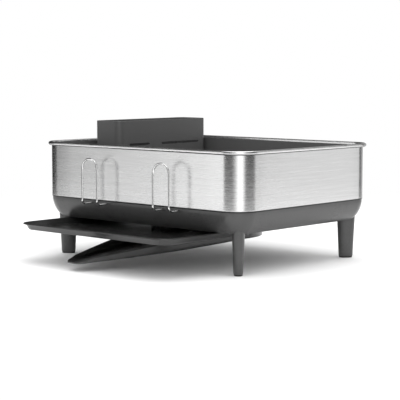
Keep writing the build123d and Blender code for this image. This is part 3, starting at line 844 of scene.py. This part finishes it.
    def hub(self) -> np.ndarray:
        """Closed ring: the profile (radius, height) turned right round the pan's middle.

        Returns:
            Rows of rings by points by 3.
        """
        top = self.rim[1][0]
        profile = np.array(
            [
                (self.hub_outer, self.hub_bottom + 0.5),
                (self.hub_outer, top - 0.5),
                (self.hub_outer - 0.5, top),
                (self.hub_inner + 0.4, top),
                (self.hub_inner, top - 0.4),
                (self.hub_inner, self.hub_bottom + 0.4),
                (self.hub_inner + 0.4, self.hub_bottom),
                (self.hub_outer - 0.5, self.hub_bottom),
            ]
        )
        angle = np.linspace(0.0, 2 * np.pi, self.hub_points, endpoint=False)
        ring = np.stack([np.cos(angle), np.sin(angle)], -1)
        return stack(list(profile[:, 0][:, None, None] * ring), profile[:, 1])

    def arm(self, heading: float) -> np.ndarray:
        """Rounded bar from the hub to the pan's wall: a superellipse carried along a heading.

        Args:
            heading: its direction in degrees round +Z from +X.

        Returns:
            Rows of rings by points by 3.
        """
        half_sizes = self.arm_half_width, self.arm_half_height
        across, height = superellipse(*half_sizes, self.arm_squareness, self.arm_points)
        height = self.arm_middle + height
        along = np.linspace(self.hub_outer - 1.0, self.pan - 1.2, self.arm_rows)[:, None]
        turn = math.radians(heading)
        x = along * math.cos(turn) - across * math.sin(turn)
        y = along * math.sin(turn) + across * math.cos(turn)
        return np.stack([x, y, np.broadcast_to(height, x.shape)], -1)

    def build(self, plastic: bpy.types.Material) -> bpy.types.Object:
        """Join the shell, the hub and the three arms.

        Args:
            plastic: the spout's finish.

        Returns:
            The finished piece.
        """
        spout = Surface("spout_shell")
        spout.tube(self.turned(self.shell()))
        spout.grid(self.turned(self.hub()), wrap_rows=True)
        for heading in self.arm_headings:
            spout.tube(self.turned(self.arm(heading)))
        return place(spout.build(), plastic, "spout_plastic", "spout", self.node)


@dataclass
class CupHook:
    """Upright wire loop whose two feet turn back under the band."""

    side: Side
    centre: float = 78.0
    spread: float = 33.5
    front: float = -185.0
    foot: float = 92.0
    arch: float = 146.75
    bend: float = 6.0
    inner_end: float = -149.1
    wire: float = 1.5
    foot_points: int = 12
    bend_points: int = 12
    rise_points: int = 16
    arch_points: int = 40
    round_points: int = 24

    def half_path(self) -> tuple[np.ndarray, np.ndarray]:
        """Left foot, bend and upright of the wire, with the loop's middle at x = 0.

        Returns:
            Its points and its tangents, each by 3.
        """
        x, foot, bend = -self.spread / 2, self.foot_points, self.bend_points
        run_in = np.linspace(self.inner_end, self.front + self.bend, foot)
        turn = np.radians(np.linspace(0.0, 90.0, bend + 2))[1:-1]
        rise = np.linspace(self.foot + self.bend, self.arch, self.rise_points)
        rounding = self.front + self.bend - self.bend * np.sin(turn)
        y = [run_in, rounding, np.full(len(rise), self.front)]
        z = [np.full(foot, self.foot), self.foot + self.bend - self.bend * np.cos(turn), rise]
        back = [-np.ones(foot), -np.cos(turn), np.zeros(len(rise))]
        lift = [np.zeros(foot), np.sin(turn), np.ones(len(rise))]
        total = foot + bend + len(rise)
        points = np.stack([np.full(total, x), np.concatenate(y), np.concatenate(z)], -1)
        tangents = np.stack([np.zeros(total), np.concatenate(back), np.concatenate(lift)], -1)
        return points, tangents

    def build(self, steel: bpy.types.Material) -> bpy.types.Object:
        """Carry a circle along the wire: p + r (cos a u + sin a v), with u and v square to the run.

        Args:
            steel: the wire's finish.

        Returns:
            The finished piece.
        """
        points, tangents = self.half_path()
        half, extent = self.spread / 2, self.arch_points
        over = np.radians(np.linspace(180.0, 0.0, extent + 2))[1:-1]
        level = np.full(extent, self.front)
        arch = np.stack([half * np.cos(over), level, self.arch + half * np.sin(over)], -1)
        along = np.stack([np.sin(over), np.zeros(extent), -np.cos(over)], -1)
        path = np.concatenate([points, arch, (points * (-1.0, 1.0, 1.0))[::-1]])
        run = np.concatenate([tangents, along, (tangents * (1.0, -1.0, -1.0))[::-1]])
        count = len(points)
        u = np.zeros_like(path)
        u[:count, 0], u[-count:, 0] = 1.0, -1.0
        u[count:-count] = np.cross((0.0, 1.0, 0.0), along)
        v = np.cross(run, u)
        angle = np.linspace(0.0, 2 * np.pi, self.round_points, endpoint=False)[None, :, None]
        circle = np.cos(angle) * u[:, None] + np.sin(angle) * v[:, None]
        rings = path[:, None] + self.wire * circle
        rings[..., 0] += self.centre * (-1 if self.side is Side.LEFT else 1)
        hook = Surface(f"hook_wire_{self.side.value}")
        hook.tube(rings)
        node = f"cup_hook_{self.side.value}"
        return place(hook.build(), steel, "hook_wire", "rack_base", node)


@dataclass
class Leg:
    """Oval tapering leg with a softened foot, and the rubber pad under it."""

    corner: Corner
    x: float = 186.5
    y: float = 133.0
    top: float = 72.0
    pad: float = 2.0
    top_oval: tuple[float, float] = (14.8, 10.0)
    foot_oval: tuple[float, float] = (11.2, 7.1)
    fullness: float = 2.3
    round_points: int = 56
    body_rows: int = 14

    def loop(self, height: float, shrink: float) -> np.ndarray:
        """Superellipse of the leg, |x/a|^n + |y/b|^n = 1, turned to the rack's corner.

        Args:
            height: the loop's height.
            shrink: how far inside the leg's surface it lies.

        Returns:
            An array of points by 2.
        """
        share = height / self.top
        long = self.foot_oval[0] + (self.top_oval[0] - self.foot_oval[0]) * share - shrink
        short = self.foot_oval[1] + (self.top_oval[1] - self.foot_oval[1]) * share - shrink
        along, across = superellipse(long, short, 2.0 / self.fullness, self.round_points)
        sign_x, sign_y = self.corner.signs
        turn = math.atan2(sign_y, sign_x)
        x = along * math.cos(turn) - across * math.sin(turn)
        y = along * math.sin(turn) + across * math.cos(turn)
        return np.stack([x + sign_x * self.x, y + sign_y * self.y], -1)

    def _closed(self, name: str, steps: Sequence[tuple[float, float]]) -> Surface:
        """Stack loops and close both ends.

        Args:
            name: name of the new piece.
            steps: (height, shrink) of each loop, from the lowest up.

        Returns:
            The closed surface.
        """
        loops = [self.loop(height, shrink) for height, shrink in steps]
        shell = Surface(name)
        shell.tube(stack(loops, [height for height, _ in steps]))
        return shell

    def build(self, plastic: bpy.types.Material, rubber: bpy.types.Material) -> None:
        """Make the leg and its pad.

        Args:
            plastic: the leg's finish.
            rubber: the pad's finish.
        """
        name = self.corner.value
        heights = np.linspace(self.pad + 1.2, self.top - 0.6, self.body_rows)
        body = [(height, 0.0) for height in heights]
        foot = [(self.pad, 3.0), (self.pad, 1.2), (self.pad + 0.1, 0.7), (self.pad + 0.5, 0.2)]
        steps = [*foot, *body, (self.top - 0.1, 0.4), (self.top, 1.2)]
        leg = self._closed(f"leg_shell_{name}", steps)
        place(leg.build(), plastic, "dark_plastic", "rack_base", f"leg_{name}")
        edge = [(0.0, 4.0), (0.0, 1.3), (0.1, 0.9), (0.5, 0.6)]
        sole = [*edge, (self.pad - 0.15, 0.6), (self.pad, 0.8), (self.pad, 4.0)]
        pad = self._closed(f"pad_shell_{name}", sole)
        place(pad.build(), rubber, "pad_rubber", "rack_base", f"foot_pad_{name}")


def dress(node: str, material: bpy.types.Material) -> None:
    """Give a CAD node a finished material.

    Args:
        node: the node's name.
        material: its finish.
    """
    piece = frame["nodes"][node]
    piece.data.materials.clear()
    piece.data.materials.append(material)
    log.info("%s: finished in %s", node, material.name)


# ---- Studio ----------------------------------------------------------------------------


@dataclass
class Studio:
    """Pale floor, soft lights and the camera."""

    floor_radius: float = 1.15
    floor_fade: float = 0.45
    floor_rings: int = 40
    floor_spokes: int = 96
    floor_tones: tuple[float, float] = (0.90, 0.93)
    floor_mottle: tuple[float, float] = (3.0, 2.0)
    floor_roughness: float = 0.6
    floor_specular: float = 0.3
    azimuth: float = 42.27
    elevation: float = 5.89
    distance: float = 2.2224
    target: tuple[float, float, float] = (0.0, 0.0, 0.07826)
    lens: float = 122.06
    shift_x: float = -0.0136
    shift_y: float = 0.0187
    top_place: tuple[float, float, float] = (0.1, 0.1, 2.2)
    top_size: tuple[float, float] = (2.4, 2.0)
    top_power: float = 24.0
    ring_strength: float = 1.30
    fill_strength: float = 1.42
    panels: tuple[tuple[float, float], ...] = (
        (-180.0, 0.40),
        (-156.0, 0.30),
        (-146.0, 0.06),
        (-90.0, 0.02),
        (-58.0, 0.04),
        (-52.0, 0.10),
        (-48.0, 0.30),
        (-45.0, 0.62),
        (-42.5, 0.95),
        (-39.0, 1.06),
        (-35.0, 1.00),
        (-30.0, 0.01),
        (12.0, 0.01),
        (28.0, 0.34),
        (42.0, 1.10),
        (62.0, 1.10),
        (78.0, 0.01),
        (122.0, 0.02),
        (130.0, 0.18),
        (135.0, 0.40),
        (139.0, 0.64),
        (143.0, 0.84),
        (147.0, 0.86),
        (153.0, 0.04),
        (172.0, 0.12),
        (180.0, 0.40),
    )

    def camera(self) -> None:
        """Stand the camera on a sphere round the target, level, and look at it."""
        turn, rise = math.radians(self.azimuth), math.radians(self.elevation)
        level = math.cos(rise)
        back = Vector((math.sin(turn) * level, -math.cos(turn) * level, math.sin(rise)))
        data = bpy.data.cameras.new("camera")
        data.lens = self.lens
        data.sensor_width = 36.0
        data.shift_x = self.shift_x
        data.shift_y = self.shift_y
        data.clip_end = 50.0
        camera = bpy.data.objects.new("camera", data)
        camera.location = Vector(self.target) + back * self.distance
        camera.rotation_euler = back.to_track_quat("Z", "Y").to_euler()
        bpy.context.scene.collection.objects.link(camera)
        bpy.context.scene.camera = camera

    def floor(self) -> None:
        """Lay a round pale floor under the rack that fades out into the white studio.

        Each point stands at a radius and an angle: x = r cos a, y = r sin a.
        """
        radius = np.linspace(0.01, self.floor_radius, self.floor_rings)[:, None]
        angle = np.linspace(0.0, 2 * np.pi, self.floor_spokes, endpoint=False)[None, :]
        across, along = radius * np.cos(angle), radius * np.sin(angle)
        rings = np.stack([across, along, np.zeros_like(across)], -1)
        sheet = Surface("floor")
        first = sheet.grid(rings[::-1] / MM)
        innermost = first + (self.floor_rings - 1) * self.floor_spokes
        sheet.cap(innermost, self.floor_spokes, np.zeros(3), True)
        floor = sheet.build()
        material, graph = new_material("studio_floor")
        low, high = (grey(tone) for tone in self.floor_tones)
        sockets = {
            "Base Color": graph.mix(graph.noise(*self.floor_mottle), low, high),
            "Roughness": self.floor_roughness,
            "Specular IOR Level": self.floor_specular,
        }
        paint = graph.node("ShaderNodeBsdfPrincipled", {}, sockets)
        clear = graph.node("ShaderNodeBsdfTransparent", {}, {})
        length = {"operation": "LENGTH"}
        away = graph.node("ShaderNodeVectorMath", length, {0: graph.place()}, out=1)
        fade = graph.ramp(away, self.floor_fade, self.floor_radius)
        graph.finish(graph.node("ShaderNodeMixShader", {}, {0: fade, 1: paint, 2: clear}))
        floor.data.materials.append(material)

    def lamp(self, name: str, place: tuple, aim: tuple, size: tuple, power: float) -> None:
        """Hang one rectangular soft light.

        Args:
            name: the light's name.
            place: where it hangs, in metres.
            aim: the point it faces.
            size: its width and height in metres.
            power: its power in watts.
        """
        data = bpy.data.lights.new(name, "AREA")
        data.shape = "RECTANGLE"
        data.size, data.size_y = size
        data.energy = power
        light = bpy.data.objects.new(name, data)
        light.location = place
        light.rotation_euler = (Vector(place) - Vector(aim)).to_track_quat("Z", "Y").to_euler()
        bpy.context.scene.collection.objects.link(light)

    def lights(self) -> None:
        """Hang the overhead softbox and put a ring of white panels and gaps round the rack.

        The ring's brightness depends on the direction's angle round +Z, counted from the
        front (-Y) towards +X.
        """
        bpy.context.scene.view_settings.view_transform = "Standard"
        self.lamp("top_softbox", self.top_place, (0.0, 0.0, 0.0), self.top_size, self.top_power)
        world = bpy.data.worlds.new("studio")
        bpy.context.scene.world = world
        graph = Graph(world, "ShaderNodeOutputWorld")
        world.cycles.sampling_method = "NONE"
        toward = graph.node("ShaderNodeTexCoord", {}, {}, out="Generated")
        split = graph.node("ShaderNodeSeparateXYZ", {}, {"Vector": toward})
        across = Value(graph, split.socket.node.outputs["X"])
        along = Value(graph, split.socket.node.outputs["Y"])
        angle = graph.node("ShaderNodeMath", {"operation": "ARCTAN2"}, {0: across, 1: along * -1.0})
        stops = [(0.5 + degrees / 360.0, (level,) * 3) for degrees, level in self.panels]
        place = angle * (0.5 / math.pi) + 0.5
        panels = graph.node("ShaderNodeValToRGB", {"stops": stops}, {"Fac": place})
        direct = graph.node("ShaderNodeLightPath", {}, {}, out="Is Camera Ray")
        mirrored = Value(graph, direct.socket.node.outputs["Is Glossy Ray"])
        backs = [(grey(1.0), 1.0), (grey(1.0), self.fill_strength), (panels, self.ring_strength)]
        white, fill, ring = (
            graph.node("ShaderNodeBackground", {}, {"Color": colour, "Strength": strength})
            for colour, strength in backs
        )
        around = graph.node("ShaderNodeMixShader", {}, {0: mirrored, 1: fill, 2: ring})
        graph.finish(graph.node("ShaderNodeMixShader", {}, {0: direct, 1: around, 2: white}))


def main() -> None:
    """Build every sub-assembly in order and report the pieces."""
    logging.basicConfig(level=logging.INFO)
    steel = BrushedSteel().material()
    wire = PolishedSteel().material()
    zinc = PolishedSteel("zinc_steel", 0.45, 0.34).material()
    tub = MouldedPlastic("tub_plastic", 0.046, 0.29, specular=0.60).material()
    tray = MouldedPlastic("tray_plastic", 0.020, 0.25, specular=0.6).material()
    spout = MouldedPlastic("spout_plastic", 0.022, 0.24, specular=0.8).material()
    liner = MouldedPlastic("liner_plastic", 0.090, 0.50).material()
    caddy = MouldedPlastic("caddy_plastic", 0.074, 0.38).material()
    rubber = MouldedPlastic("pad_rubber", 0.02, 0.75).material()
    natural = MouldedPlastic("washer_plastic", 0.55, 0.45).material()
    looks = {
        "screw_steel": zinc, "dark_plastic": tub, "rack_plastic": liner, "caddy_plastic": caddy,
        "spout_plastic": spout, "washer_plastic": natural, "pad_rubber": rubber,
        "steel_band": steel, "hook_wire": wire,
    }
    for part in frame["record"]["subparts"]:
        dress(part["node"], looks[part["material_slot"]])
    SteelBand().build(steel)
    DripTray().build(tray)
    DrainSpout().build(spout)
    for side in Side:
        CupHook(side).build(wire)
    for corner in Corner:
        Leg(corner).build(tub, rubber)
    studio = Studio()
    studio.camera()
    studio.floor()
    studio.lights()


if __name__ == "__main__":
    main()
